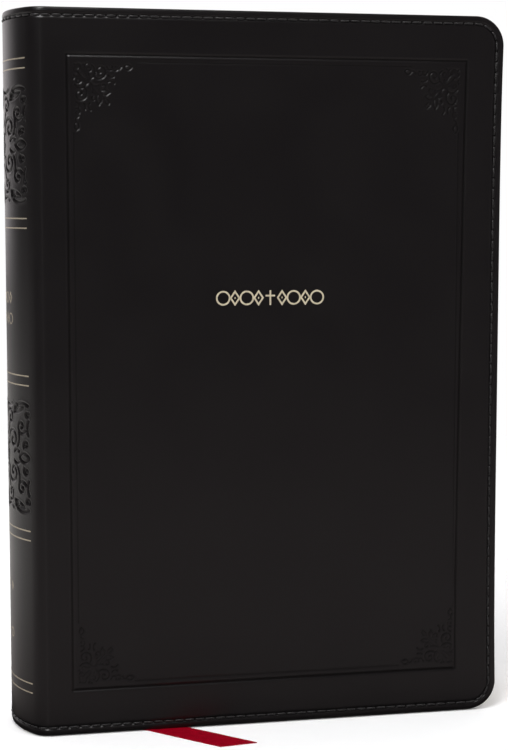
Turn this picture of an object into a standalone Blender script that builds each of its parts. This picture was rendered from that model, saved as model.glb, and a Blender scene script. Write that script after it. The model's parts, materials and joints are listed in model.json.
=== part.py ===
"""A thick bible in a soft imitation-leather cover, standing upright on its foot edge.

The frame: the origin is at the foot of the spine, on the middle plane of the book.
+X runs from the spine to the fore edge, +Y from the front cover to the back cover,
and +Z from the foot to the head. The front cover therefore faces -Y.

The casing is a rounded spine and two covers. Each cover is a leather shell turned in
over a board, with a paper liner glued inside it and a thread sewn round its edge.
The text block is sewn and glued along its rounded spine. Its leaves are grouped in
twelve sections, and each section turns on its own line in the gutter. The lines lie
deeper for the middle sections, as thick books bend further from the spine there.
"""
import math

import bmesh
import bpy

# ---------------------------------------------------------------- driving dimensions
COVER_HEIGHT = 0.236
COVER_WIDTH = 0.164
BOOK_THICKNESS = 0.044
CORNER_RADIUS = 0.010
GAP = 0.0003

# Cover wall, from the outside in.
SKIN = 0.0008
BOARD = 0.0010
TURN_IN = 0.0006
LINER = 0.0004
RIM = 0.0009
TURN_IN_WIDTH = 0.0070
EDGE_ROUND = 0.0008

# Spine shell.
SPINE_RADIUS = 0.034
SHOULDER_RADIUS = 0.0075
SPINE_SKIN = 0.0010
SPINE_EDGE_X = 0.0107
INLAY = 0.0005

# Hinges of the covers.
HINGE_X = 0.0110
HINGE_PROUD = 0.0003
COVER_START_X = HINGE_X + GAP
BOARD_START_X = 0.0160

# Sewn edge: a shallow channel with the thread lying in it.
STITCH_INSET = 0.0026
CHANNEL_WIDTH = 0.0011
CHANNEL_DEPTH = 0.0005
THREAD_WIDTH = 0.0005
THREAD_PROUD = 0.0001
THREAD_THICKNESS = 0.0003

# Text block.
SQUARE = 0.0035
BLOCK_HALF = 0.0180
BLOCK_SPINE_RADIUS = 0.0292
LEAF_FORE_X = 0.1595
LEAF_CORNER_RADIUS = 0.008
SECTIONS_PER_HALF = 6
MARKER_SLOT_HALF = 0.00045
MARKER_SLOT_START_X = 0.0065
FIRST_TURN_X = 0.0190
TURN_STEP_X = 0.0032
STEP_CLEARANCE = 0.0008
FLYLEAF = 0.0004
FLYLEAF_TURN_X = 0.0145

# Layers glued on the spine of the block.
LINING_RADIUS = 0.0314
MULL_RADIUS = 0.0307
LINING = 0.0004
LINING_HALF_ANGLE = math.radians(33.0)
INLAY_HALF_ANGLE = math.radians(30.0)
INLAY_END = 0.0015
THREAD_RADIUS = 0.02975
SEWING_HALF = 0.0002
SEWING_END = 0.012
BAND_BEAD = 0.0011
BAND_RADIUS = 0.0299
BAND_HALF_ANGLE = math.radians(32.0)

# Ribbon marker.
RIBBON_WIDTH = 0.0103
RIBBON_THICKNESS = 0.0003
RIBBON_AXIS_X = 0.0301
RIBBON_HEAD_X = 0.0140
RIBBON_AZIMUTH = math.radians(-47.6)
RIBBON_LONG_EDGE = 0.062
RIBBON_SHORT_EDGE = 0.055
RIBBON_DROP_TOP = 0.0031
RIBBON_FLOOR = -0.0006

# Facets of round shapes.
CORNER_STEPS = 8
SHOULDER_STEPS = 7
ARC_STEPS = 24
LEAF_ROUND_STEPS = 6
BEAD_STEPS = 10

# ---------------------------------------------------------------- derived dimensions
HALF = BOOK_THICKNESS / 2
SKIN_INNER = HALF - SKIN
BOARD_OUTER = SKIN_INNER - GAP
BOARD_INNER = BOARD_OUTER - BOARD
POCKET_INNER = BOARD_INNER - GAP
COVER_INNER = POCKET_INNER - TURN_IN
BLOCK_LOW = SQUARE
BLOCK_HIGH = COVER_HEIGHT - SQUARE
PITCH = (BLOCK_HALF - MARKER_SLOT_HALF) / SECTIONS_PER_HALF
LEAF_HALF = (PITCH - GAP) / 2
SHOULDER_Y = HALF - SHOULDER_RADIUS
SHOULDER_X = SPINE_RADIUS - math.sqrt((SPINE_RADIUS - SHOULDER_RADIUS) ** 2 - SHOULDER_Y ** 2)
TANGENT_ANGLE = math.asin(SHOULDER_Y / (SPINE_RADIUS - SHOULDER_RADIUS))


# ---------------------------------------------------------------- materials
def material(name, colour, roughness, metallic=0.0):
    """A plain Principled material."""
    made = bpy.data.materials.new(name)
    made.use_nodes = True
    shader = made.node_tree.nodes["Principled BSDF"]
    shader.inputs["Base Color"].default_value = (*colour, 1.0)
    shader.inputs["Roughness"].default_value = roughness
    shader.inputs["Metallic"].default_value = metallic
    made.diffuse_color = (*colour, 1.0)
    return made


def make_materials():
    """One material for each kind of stuff in the book."""
    return {
        "leather": material("black_leather", (0.012, 0.011, 0.012), 0.42),
        "board": material("cover_board", (0.34, 0.30, 0.24), 0.85),
        "liner": material("liner_paper", (0.020, 0.019, 0.020), 0.60),
        "thread": material("black_thread", (0.020, 0.020, 0.021), 0.60),
        "linen": material("sewing_linen", (0.80, 0.77, 0.70), 0.80),
        "mull": material("mull_cloth", (0.76, 0.72, 0.62), 0.90),
        "kraft": material("kraft_paper", (0.42, 0.28, 0.16), 0.85),
        "inlay": material("spine_card", (0.30, 0.27, 0.22), 0.85),
        "paper": material("thin_paper", (0.85, 0.82, 0.74), 0.75),
        "endpaper": material("endpaper", (0.80, 0.77, 0.69), 0.70),
        "band": material("band_silk", (0.55, 0.42, 0.16), 0.45),
        "ribbon": material("red_satin", (0.36, 0.004, 0.012), 0.35),
    }


# ---------------------------------------------------------------- mesh helpers
def new_object(name, bm, surface, origin=(0.0, 0.0, 0.0)):
    """Turn a closed bmesh into a named object whose origin is at the given point."""
    bmesh.ops.translate(bm, verts=bm.verts, vec=[-value for value in origin])
    bmesh.ops.recalc_face_normals(bm, faces=bm.faces)
    mesh = bpy.data.meshes.new(name)
    bm.to_mesh(mesh)
    bm.free()
    mesh.materials.append(surface)
    mesh.shade_smooth()
    mesh.set_sharp_from_angle(angle=math.radians(35.0))
    made = bpy.data.objects.new(name, mesh)
    made.location = origin
    bpy.context.scene.collection.objects.link(made)
    return made


def bridge(bm, first, second, closed=True):
    """Quads between two rows of vertices of the same length."""
    count = len(first)
    last = count if closed else count - 1
    for index in range(last):
        after = (index + 1) % count
        bm.faces.new((first[index], first[after], second[after], second[index]))


def stack(rings, closed=True):
    """A closed body from a stack of rings of points, capped at both ends.

    Open rings share a straight gap between their first and last points, and one
    more face closes the body there.
    """
    bm = bmesh.new()
    rows = [[bm.verts.new(point) for point in ring] for ring in rings]
    for first, second in zip(rows, rows[1:]):
        bridge(bm, first, second, closed)
    bm.faces.new(rows[0])
    bm.faces.new(rows[-1])
    if not closed:
        ends = [row[0] for row in rows] + [row[-1] for row in reversed(rows)]
        bm.faces.new(ends)
    return bm


def upright(outline, low, high):
    """A prism that stands on an outline of (x, y) points."""
    return stack([[(x, y, z) for x, y in outline] for z in (low, high)])


def sideways(outline, near, far):
    """A prism through the thickness of the book, on an outline of (x, z) points."""
    return stack([[(x, y, z) for x, z in outline] for y in (near, far)])


def arc(centre_x, centre_y, radius, start, end, steps):
    """Points on an arc, both ends included, with angles from +X."""
    points = []
    for index in range(steps + 1):
        angle = start + (end - start) * index / steps
        points.append((centre_x + radius * math.cos(angle), centre_y + radius * math.sin(angle)))
    return points


def panel_edge(inset, start_x):
    """The three free sides of a cover as (x, z) points, foot first, moved inwards."""
    right = COVER_WIDTH - inset
    low = inset
    high = COVER_HEIGHT - inset
    radius = CORNER_RADIUS - inset
    points = [(start_x, low)]
    points += arc(right - radius, low + radius, radius, -math.pi / 2, 0.0, CORNER_STEPS)
    points += arc(right - radius, high - radius, radius, 0.0, math.pi / 2, CORNER_STEPS)
    points.append((start_x, high))
    return points


def spine_path(depth, edge_x):
    """The spine's outer curve moved inwards by depth, from the front edge to the back."""
    small = SHOULDER_RADIUS - depth
    turn = math.acos((SHOULDER_X - edge_x) / small)
    front = arc(SHOULDER_X, -SHOULDER_Y, small, math.pi + turn, math.pi + TANGENT_ANGLE,
                SHOULDER_STEPS)
    middle = arc(SPINE_RADIUS, 0.0, SPINE_RADIUS - depth, math.pi + TANGENT_ANGLE,
                 math.pi - TANGENT_ANGLE, ARC_STEPS)
    back = [(x, -y) for x, y in reversed(front)]
    return front + middle[1:-1] + back


def spine_band(outer_depth, inner_depth, edge_x):
    """A closed (x, y) outline between two depths of the spine's curve."""
    return spine_path(outer_depth, edge_x) + spine_path(inner_depth, edge_x)[::-1]


def layer(outer_radius, thickness, half_angle, low, high):
    """A sheet curved round the spine's centre."""
    outer = arc(SPINE_RADIUS, 0.0, outer_radius, math.pi + half_angle, math.pi - half_angle,
                ARC_STEPS)
    inner = arc(SPINE_RADIUS, 0.0, outer_radius - thickness, math.pi - half_angle,
                math.pi + half_angle, ARC_STEPS)
    return upright(outer + inner, low, high)


def parent_to_axis(objects, axis_name, x, y):
    """Hang objects from an empty that stands on a vertical joint axis."""
    empty = bpy.data.objects.new(axis_name, None)
    empty.location = (x, y, 0.0)
    empty.empty_display_size = 0.02
    bpy.context.scene.collection.objects.link(empty)
    for item in objects:
        item.parent = empty
        item.location = (0.0, 0.0, 0.0)


# ---------------------------------------------------------------- covers
def cover_leather(side):
    """The leather shell of a cover: skin, rounded rim, turned-in lip and sewn channel."""
    near = STITCH_INSET - CHANNEL_WIDTH / 2
    far = STITCH_INSET + CHANNEL_WIDTH / 2
    floor = HALF - CHANNEL_DEPTH
    section = [
        (far, HALF),
        (far, floor),
        (near, floor),
        (near, HALF),
        (EDGE_ROUND, HALF),
        (EDGE_ROUND * 0.3, HALF - EDGE_ROUND * 0.25),
        (0.0, HALF - EDGE_ROUND),
        (0.0, COVER_INNER + EDGE_ROUND / 2),
        (EDGE_ROUND / 2, COVER_INNER),
        (TURN_IN_WIDTH, COVER_INNER),
        (TURN_IN_WIDTH, POCKET_INNER),
        (RIM, POCKET_INNER),
        (RIM, SKIN_INNER),
    ]
    rings = []
    for inset, depth in section:
        rings.append([(x, side * depth, z) for x, z in panel_edge(inset, COVER_START_X)])
    return stack(rings, closed=False)


def cover_parts(side, word, surfaces):
    """The four pieces of one cover, hung on its hinge axis. Side is -1 for the front."""
    origin = (HINGE_X, side * (HALF + HINGE_PROUD), 0.0)
    leather = new_object(word + "_cover_leather", cover_leather(side), surfaces["leather"], origin)

    board_outline = panel_edge(RIM + GAP, BOARD_START_X)
    board = new_object(word + "_board", sideways(board_outline, side * BOARD_OUTER, side * BOARD_INNER),
                       surfaces["board"], origin)

    liner_outline = panel_edge(TURN_IN_WIDTH + GAP, BOARD_START_X)
    liner_bm = sideways(liner_outline, side * POCKET_INNER, side * (POCKET_INNER - LINER))
    liner = new_object(word + "_liner", liner_bm, surfaces["liner"], origin)

    outer = panel_edge(STITCH_INSET - THREAD_WIDTH / 2, COVER_START_X + GAP)
    inner = panel_edge(STITCH_INSET + THREAD_WIDTH / 2, COVER_START_X + GAP)
    top = HALF + THREAD_PROUD
    thread_bm = sideways(outer + inner[::-1], side * top, side * (top - THREAD_THICKNESS))
    thread = new_object(word + "_stitching", thread_bm, surfaces["thread"], origin)

    parent_to_axis((leather, board, liner, thread), word + "_hinge_axis", origin[0], origin[1])


# ---------------------------------------------------------------- spine
def spine_leather():
    """The rounded spine shell, with a sewn channel near its head and its foot."""
    near = STITCH_INSET - CHANNEL_WIDTH / 2
    far = STITCH_INSET + CHANNEL_WIDTH / 2
    foot_levels = [
        (0.0, GAP),
        (GAP, 0.0),
        (near, 0.0),
        (near, CHANNEL_DEPTH),
        (far, CHANNEL_DEPTH),
        (far, 0.0),
    ]
    head_levels = [(COVER_HEIGHT - z, depth) for z, depth in reversed(foot_levels)]
    rings = []
    for z, depth in foot_levels + head_levels:
        rings.append([(x, y, z) for x, y in spine_band(depth, SPINE_SKIN, SPINE_EDGE_X)])
    return stack(rings)


def spine_thread(centre_z):
    """The run of sewing that crosses the spine at one height."""
    outline = spine_band(-THREAD_PROUD, THREAD_THICKNESS - THREAD_PROUD, SPINE_EDGE_X - GAP)
    return upright(outline, centre_z - THREAD_WIDTH / 2, centre_z + THREAD_WIDTH / 2)


def bead(centre_z):
    """A headband: a cord bent along the rounded spine of the block."""
    rings = []
    for index in range(ARC_STEPS + 1):
        angle = math.pi - BAND_HALF_ANGLE + 2 * BAND_HALF_ANGLE * index / ARC_STEPS
        ring = []
        for step in range(BEAD_STEPS):
            turn = 2 * math.pi * step / BEAD_STEPS
            radius = BAND_RADIUS + BAND_BEAD * math.cos(turn)
            ring.append((SPINE_RADIUS + radius * math.cos(angle), radius * math.sin(angle),
                         centre_z + BAND_BEAD * math.sin(turn)))
        rings.append(ring)
    return stack(rings)


def sewing_thread():
    """One thread that runs up and down the folds of all the sections in turn."""
    path = []
    for index, y in enumerate(section_centres()):
        angle = math.asin(y / BLOCK_SPINE_RADIUS)
        ends = (SEWING_END, COVER_HEIGHT - SEWING_END)
        if index % 2:
            ends = ends[::-1]
        path += [(angle * THREAD_RADIUS, ends[0]), (angle * THREAD_RADIUS, ends[1])]
    rings = []
    for index, (along, z) in enumerate(path):
        turn_left = side_normal(path, index)
        ring = []
        for across, out in ((-1, -1), (1, -1), (1, 1), (-1, 1)):
            place = along + across * SEWING_HALF * turn_left[0]
            height = z + across * SEWING_HALF * turn_left[1]
            radius = THREAD_RADIUS + out * SEWING_HALF
            angle = math.pi - place / THREAD_RADIUS
            ring.append((SPINE_RADIUS + radius * math.cos(angle), radius * math.sin(angle), height))
        rings.append(ring)
    return stack(rings)


def side_normal(path, index):
    """The mitred normal of a flat path at one of its points."""
    normals = []
    for start in (index - 1, index):
        if 0 <= start < len(path) - 1:
            run = path[start + 1][0] - path[start][0]
            rise = path[start + 1][1] - path[start][1]
            length = math.hypot(run, rise)
            normals.append((-rise / length, run / length))
    if len(normals) == 1:
        return normals[0]
    total = (normals[0][0] + normals[1][0], normals[0][1] + normals[1][1])
    scale = 1 + normals[0][0] * normals[1][0] + normals[0][1] * normals[1][1]
    return (total[0] / scale, total[1] / scale)


# ---------------------------------------------------------------- text block
def section_centres():
    """The middle planes of the twelve sections, from the front to the back."""
    half = [BLOCK_HALF - PITCH * (index + 0.5) for index in range(SECTIONS_PER_HALF)]
    return [-y for y in half] + half[::-1]


def turn_x(index):
    """Where a section's turning line stands, counted from its own cover inwards."""
    return FIRST_TURN_X + TURN_STEP_X * index


def block_spine_x(y):
    """The rounded spine of the text block."""
    return SPINE_RADIUS - math.sqrt(BLOCK_SPINE_RADIUS ** 2 - y ** 2)


def fore_x(y):
    """The hollow fore edge, which mirrors the rounded spine."""
    outermost = BLOCK_HALF - PITCH / 2
    return LEAF_FORE_X - block_spine_x(outermost) + block_spine_x(y)


def leaf(pivot_x, centre_y, half_thickness, end_x):
    """Leaves with a round back edge on their turning line and rounded fore corners."""
    outline = arc(pivot_x, centre_y, half_thickness, math.pi / 2, 3 * math.pi / 2, LEAF_ROUND_STEPS)
    outline += [(end_x, centre_y - half_thickness), (end_x, centre_y + half_thickness)]
    bm = upright(outline, BLOCK_LOW, BLOCK_HIGH)
    corners = []
    for edge in bm.edges:
        first, second = (vert.co for vert in edge.verts)
        flat = abs(first.z - second.z) < 1e-7
        fore = min(first.x, second.x) > end_x - 1e-6
        if flat and fore:
            corners.append(edge)
    bmesh.ops.bevel(bm, geom=corners, offset=LEAF_CORNER_RADIUS, offset_type="OFFSET",
                    segments=CORNER_STEPS, profile=0.5, affect="EDGES", clamp_overlap=False)
    return bm


def gutter_block():
    """The folds of all the sections, sewn and glued into one solid.

    Its back is rounded, its front steps back to each turning line, and a narrow slot
    in the middle holds the ribbon marker.
    """
    limit = math.asin(BLOCK_HALF / BLOCK_SPINE_RADIUS)
    outline = arc(SPINE_RADIUS, 0.0, BLOCK_SPINE_RADIUS, math.pi - limit, math.pi + limit, ARC_STEPS)
    steps = []
    for index in range(SECTIONS_PER_HALF):
        end_x = turn_x(index) - LEAF_HALF - STEP_CLEARANCE
        near_y = BLOCK_HALF - PITCH * index
        steps += [(end_x, -near_y), (end_x, PITCH - near_y)]
    slot = [(MARKER_SLOT_START_X, -MARKER_SLOT_HALF), (MARKER_SLOT_START_X, MARKER_SLOT_HALF)]
    outline += steps + slot + [(x, -y) for x, y in reversed(steps)]
    return upright(outline, BLOCK_LOW, BLOCK_HIGH)


def section_objects(surfaces):
    """The twelve groups of leaves, each with its origin on its turning line."""
    for index, y in enumerate(section_centres()):
        inwards = min(index, 2 * SECTIONS_PER_HALF - 1 - index)
        pivot = turn_x(inwards)
        name = "pages_{:02d}".format(index + 1)
        new_object(name, leaf(pivot, y, LEAF_HALF, fore_x(y)), surfaces["paper"], (pivot, y, 0.0))


def flyleaf_objects(surfaces):
    """The free half of each endpaper."""
    for side, word in ((-1, "front"), (1, "back")):
        y = side * (BLOCK_HALF + GAP + FLYLEAF / 2)
        bm = leaf(FLYLEAF_TURN_X, y, FLYLEAF / 2, LEAF_FORE_X)
        new_object(word + "_flyleaf", bm, surfaces["endpaper"], (FLYLEAF_TURN_X, y, 0.0))


# ---------------------------------------------------------------- ribbon marker
def ribbon_marker():
    """The part of the ribbon held between the leaves, from the head down to the foot."""
    half = RIBBON_WIDTH / 2
    outline = [
        (RIBBON_AXIS_X - half, BLOCK_LOW),
        (RIBBON_AXIS_X + half, BLOCK_LOW),
        (RIBBON_HEAD_X + half, BLOCK_HIGH),
        (RIBBON_HEAD_X - half, BLOCK_HIGH),
    ]
    return sideways(outline, -RIBBON_THICKNESS / 2, RIBBON_THICKNESS / 2)


def ribbon_tail():
    """The loose end: it drops out of the block, bends, and lies out past the front cover."""
    forward = (math.cos(RIBBON_AZIMUTH), math.sin(RIBBON_AZIMUTH))
    across = (-forward[1], forward[0])
    middle_z = RIBBON_FLOOR + RIBBON_THICKNESS / 2
    bend = 0.0023
    path = [(0.0, RIBBON_DROP_TOP, 0.0)]
    for along, z in arc(bend, middle_z + bend, bend, math.pi, 3 * math.pi / 2, CORNER_STEPS):
        path.append((along, z, math.atan2(middle_z + bend - z, bend - along)))
    rings = []
    for along, z, tilt in path:
        rings.append(ribbon_ring(forward, across, (along, along), z, tilt))
    long_first = (RIBBON_SHORT_EDGE, RIBBON_LONG_EDGE)
    rings.append(ribbon_ring(forward, across, long_first, middle_z, math.pi / 2))
    return stack(rings)


def ribbon_ring(forward, across, lengths, z, tilt):
    """Four corners of the ribbon's section; lengths are those of its two edges."""
    half = RIBBON_WIDTH / 2
    out = RIBBON_THICKNESS / 2
    corners = []
    for edge, face in ((0, -1), (1, -1), (1, 1), (0, 1)):
        along = lengths[edge] + face * out * math.cos(tilt)
        sideways_by = half * (2 * edge - 1)
        height = z + face * out * math.sin(tilt)
        corners.append((
            RIBBON_AXIS_X + forward[0] * along + across[0] * sideways_by,
            forward[1] * along + across[1] * sideways_by,
            height,
        ))
    return corners


# ---------------------------------------------------------------- assembly
def main():
    for old in list(bpy.data.objects):
        bpy.data.objects.remove(old, do_unlink=True)
    surfaces = make_materials()

    new_object("spine_leather", spine_leather(), surfaces["leather"])
    new_object("spine_stitching_foot", spine_thread(STITCH_INSET), surfaces["thread"])
    new_object("spine_stitching_head", spine_thread(COVER_HEIGHT - STITCH_INSET), surfaces["thread"])
    inlay_radius = SPINE_RADIUS - SPINE_SKIN - GAP
    new_object("spine_inlay", layer(inlay_radius, INLAY, INLAY_HALF_ANGLE, INLAY_END,
                                    COVER_HEIGHT - INLAY_END), surfaces["inlay"])
    new_object("spine_lining", layer(LINING_RADIUS, LINING, LINING_HALF_ANGLE, BLOCK_LOW + GAP,
                                     BLOCK_HIGH - GAP), surfaces["kraft"])
    new_object("mull", layer(MULL_RADIUS, LINING, LINING_HALF_ANGLE, BLOCK_LOW + GAP,
                             BLOCK_HIGH - GAP), surfaces["mull"])
    new_object("sewing_thread", sewing_thread(), surfaces["linen"])
    new_object("head_band", bead(BLOCK_HIGH + GAP + BAND_BEAD), surfaces["band"])
    new_object("foot_band", bead(BLOCK_LOW - GAP - BAND_BEAD), surfaces["band"])
    new_object("bound_gutter", gutter_block(), surfaces["paper"])

    cover_parts(-1, "front", surfaces)
    cover_parts(1, "back", surfaces)
    section_objects(surfaces)
    flyleaf_objects(surfaces)

    new_object("ribbon_marker", ribbon_marker(), surfaces["ribbon"])
    new_object("ribbon_tail", ribbon_tail(), surfaces["ribbon"], (RIBBON_AXIS_X, 0.0, 0.0))


main()
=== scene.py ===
"""The looks of a thick bible in black imitation leather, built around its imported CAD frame.

Lengths in this file are millimetres until a mesh is made. The frame is the part's own:
origin at the foot of the spine, +X to the fore edge, +Y to the back cover, +Z to the head.
The front cover faces -Y.
"""

import json
import math

import bmesh
import bpy
import numpy as np
from mathutils import Euler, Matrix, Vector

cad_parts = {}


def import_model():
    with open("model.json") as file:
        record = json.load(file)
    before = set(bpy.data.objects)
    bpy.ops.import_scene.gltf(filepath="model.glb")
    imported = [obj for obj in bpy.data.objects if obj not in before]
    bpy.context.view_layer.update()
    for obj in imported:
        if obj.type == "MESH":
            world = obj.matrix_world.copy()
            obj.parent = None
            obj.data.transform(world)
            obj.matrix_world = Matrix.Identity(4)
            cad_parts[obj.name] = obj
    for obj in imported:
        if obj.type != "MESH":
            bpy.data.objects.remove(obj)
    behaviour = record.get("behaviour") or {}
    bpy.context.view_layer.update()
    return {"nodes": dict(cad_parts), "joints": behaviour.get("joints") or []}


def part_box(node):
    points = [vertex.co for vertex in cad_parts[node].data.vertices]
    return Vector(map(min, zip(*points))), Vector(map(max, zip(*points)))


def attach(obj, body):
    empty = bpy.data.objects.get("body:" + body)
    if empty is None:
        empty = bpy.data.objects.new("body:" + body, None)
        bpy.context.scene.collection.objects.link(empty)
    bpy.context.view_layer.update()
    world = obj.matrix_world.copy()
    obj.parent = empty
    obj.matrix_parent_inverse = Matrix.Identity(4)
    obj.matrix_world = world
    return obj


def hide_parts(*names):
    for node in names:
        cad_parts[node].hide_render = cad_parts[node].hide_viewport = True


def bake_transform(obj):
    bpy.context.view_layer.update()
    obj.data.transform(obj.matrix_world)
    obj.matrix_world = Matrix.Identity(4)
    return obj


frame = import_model()

# ---- sizes taken from the frame
MM = 0.001


def box_mm(node):
    """The lowest and highest corners of a CAD node, in millimetres."""
    low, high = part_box(node)
    return np.array(low) / MM, np.array(high) / MM


COVER_LOW, COVER_HIGH = box_mm("front_cover_leather")
HALF = -COVER_LOW[1]
WIDTH = COVER_HIGH[0]
HEIGHT = COVER_HIGH[2]
COVER_DEPTH = HALF + COVER_HIGH[1]
FOOT, HEAD = (corner[2] for corner in box_mm("bound_gutter"))
PIVOTS = {joint["child"]: np.array(joint["pos_m"]) / MM for joint in frame["joints"]}

# The casing's profile: a flat cover, a round shoulder, and the round spine.
CORNER = 10.0
SPINE_R = 34.0
SHOULDER_R = 7.5
SHOULDER_Y = HALF - SHOULDER_R
SHOULDER_X = SPINE_R - math.sqrt((SPINE_R - SHOULDER_R) ** 2 - SHOULDER_Y ** 2)
TANGENT = math.asin(SHOULDER_Y / (SPINE_R - SHOULDER_R))
SHOULDER_S = SHOULDER_R * (math.pi / 2 - TANGENT)
SPINE_MIDDLE = SHOULDER_S + SPINE_R * TANGENT
SEAM_S = -1.85
SEAM_X = SHOULDER_X + SEAM_S
BEND_END_X = 13.6
BLOCK_SPINE_R = 29.2
LEAF_CORNER = 8.0

# The sewn edge. A stitch covers this share of its pitch to either side of its middle.
STITCH_INSET = 2.6
STITCH_PITCH = 3.5
STITCH_RADIUS = 0.32
STITCH_SHARE = 0.46

# Tooling. A frame is (left, right, foot, head) and a line (half its width, its depth).
OUTER_FRAME = (18.4, 150.9, 14.9, 221.1)
INNER_FRAME = (20.4, 148.7, 17.0, 219.0)
OUTER_LINE = (0.60, 0.36)
INNER_LINE = (0.34, 0.15)
SCROLL_LINE = (0.46, 0.21)
SPINE_LINE = (0.55, 0.50)
SPINE_PANELS = ((192.8, 18.3), (91.6, 18.0))

# Foil: its depths in the leather, and the rules on the spine.
FOIL_SUNK = 0.10
FOIL_RAISED = -0.035
FRONT_WEIGHT = 0.28
SPINE_WEIGHT = 0.21
RULE_HEIGHTS = [15.3 + 50.8 * index for index in range(5)]
RULE_GAP = 3.1
RULE_HALF = 19.5
FLOOR_Z = -0.36


# ---- casing surface
# A side is -1 for the front and 1 for the back.
WORDS = {-1: "front", 1: "back"}


def casing(s, depth):
    """(x, y) of the casing's front half, at a depth below its outer face.

    s runs along the profile: 0 where the flat cover meets the shoulder, positive
    over the cover and negative round the spine.
    """
    s, depth = np.broadcast_arrays(np.asarray(s, float), np.asarray(depth, float))
    flat, shoulder = s >= 0, -s <= SHOULDER_S
    phi = -s / SHOULDER_R
    turn = TANGENT - (-s - SHOULDER_S) / SPINE_R
    x = np.select([flat, shoulder],
                  [SHOULDER_X + s, SHOULDER_X - (SHOULDER_R - depth) * np.sin(phi)],
                  SPINE_R - (SPINE_R - depth) * np.cos(turn))
    y = np.select([flat, shoulder],
                  [-(HALF - depth), -SHOULDER_Y - (SHOULDER_R - depth) * np.cos(phi)],
                  -(SPINE_R - depth) * np.sin(turn))
    return x, y


def smooth(low, high, value):
    """Smoothstep from 0 at low to 1 at high."""
    t = np.clip((value - low) / (high - low), 0.0, 1.0)
    return t * t * (3 - 2 * t)


def flare(x, z):
    """How far the fore edge of a cover stands out: the soft corners curl outwards."""
    share = np.abs(2 * z / HEIGHT - 1)
    return 0.95 * share ** 5 * smooth(WIDTH - 45, WIDTH, x)


def cover_points(side, s, depth, z):
    """Points of a cover, front or back."""
    x, y = casing(s, depth)
    z = np.broadcast_to(z, x.shape)
    return np.stack([x + flare(x, z), -side * y, z], -1)


def spine_points(t, depth, z):
    """Points of the spine; t runs across it, negative towards the front cover."""
    t = np.asarray(t, float)
    x, y = casing(np.abs(t) - SPINE_MIDDLE, depth)
    return np.stack([x, np.where(t < 0, y, -y), np.broadcast_to(z, x.shape)], -1)


# ---- mesh building
class Shape:
    """Points and faces of one piece as it grows."""

    def __init__(self):
        self.points = []
        self.faces = []
        self.slots = []
        self.count = 0

    def add(self, points):
        """Adds points and returns the index of the first."""
        first = self.count
        points = np.asarray(points, float).reshape(-1, 3)
        self.points.append(points)
        self.count += len(points)
        return first

    def face(self, corners, slot=0):
        self.faces.append(tuple(int(corner) for corner in corners))
        self.slots.append(slot)

    def grid(self, points):
        """A sheet of quads from an array of rows of points; returns the indices."""
        rows, columns = points.shape[:2]
        index = np.arange(rows * columns).reshape(rows, columns) + self.add(points)
        quads = np.stack([index[:-1, :-1], index[:-1, 1:], index[1:, 1:], index[1:, :-1]], -1)
        self.faces += [tuple(quad) for quad in quads.reshape(-1, 4).tolist()]
        self.slots += [0] * ((rows - 1) * (columns - 1))
        return index

    def strip(self, low, high):
        """Quads between two rows of points that are there already."""
        for corners in zip(low, low[1:], high[1:], high):
            self.face(corners)

    def tube(self, rings, closed=False, side_slots=None, end_slots=(0, 0)):
        """A body through rings of as many points each, with two ends unless it is closed."""
        count, sides = rings.shape[:2]
        first = self.add(rings)
        starts = [first + ring * sides for ring in range(count)]
        for low, high in zip(starts, starts[1:] + starts[:1] if closed else starts[1:]):
            for side in range(sides):
                after = (side + 1) % sides
                slot = side_slots[side] if side_slots else 0
                self.face((low + side, low + after, high + after, high + side), slot)
        if not closed:
            self.face(range(first, first + sides), end_slots[0])
            self.face(range(starts[-1], starts[-1] + sides), end_slots[1])

    def finish(self, name, surfaces, slot=None, replaces=(), body=None, sharp=60.0, rest=None):
        """The piece as an object; replaces names the CAD nodes that it stands for.

        Its rest coordinates go with it for the materials.
        """
        points = np.concatenate(self.points) * MM
        mesh = bpy.data.meshes.new(name)
        mesh.from_pydata(points.tolist(), [], self.faces)
        for surface in surfaces:
            mesh.materials.append(surface)
        mesh.polygons.foreach_set("material_index", self.slots)
        bm = bmesh.new()
        bm.from_mesh(mesh)
        bmesh.ops.recalc_face_normals(bm, faces=bm.faces)
        bm.to_mesh(mesh)
        bm.free()
        mesh.shade_smooth()
        mesh.set_sharp_from_angle(angle=math.radians(sharp))
        rest = np.asarray(points / MM if rest is None else rest, np.float32)
        attribute = mesh.attributes.new("rest", "FLOAT_VECTOR", "POINT")
        attribute.data.foreach_set("vector", rest.ravel())
        made = bpy.data.objects.new(name, mesh)
        bpy.context.scene.collection.objects.link(made)
        if replaces:
            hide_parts(*replaces)
        if body:
            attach(made, body)
        return made


def spaced(*runs):
    """Sorted stations from runs of (start, end, step)."""
    parts = [np.linspace(a, b, max(2, int(round((b - a) / step)) + 1)) for a, b, step in runs]
    return np.unique(np.round(np.concatenate(parts), 5))


# ---- strokes for tooling and foil
def spiral(centre_u, centre_v, inner, outer, start, end, steps=30):
    """A spiral from its inner end to its outer end, angles in degrees."""
    t = np.linspace(0, 1, steps)
    radius = inner + (outer - inner) * t
    angle = np.radians(start + (end - start) * t)
    return np.stack([centre_u + radius * np.cos(angle), centre_v + radius * np.sin(angle)], -1)


def bow(u, v, end_u, end_v, bulge, steps=12):
    """A bowed line between two points; bulge is its rise at the middle."""
    first, last = np.array((u, v), float), np.array((end_u, end_v), float)
    t = np.linspace(0, 1, steps)[:, None]
    run = last - first
    across = np.array([-run[1], run[0]]) / np.hypot(*run)
    return first + run * t + across * bulge * 4 * t * (1 - t)


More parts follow.
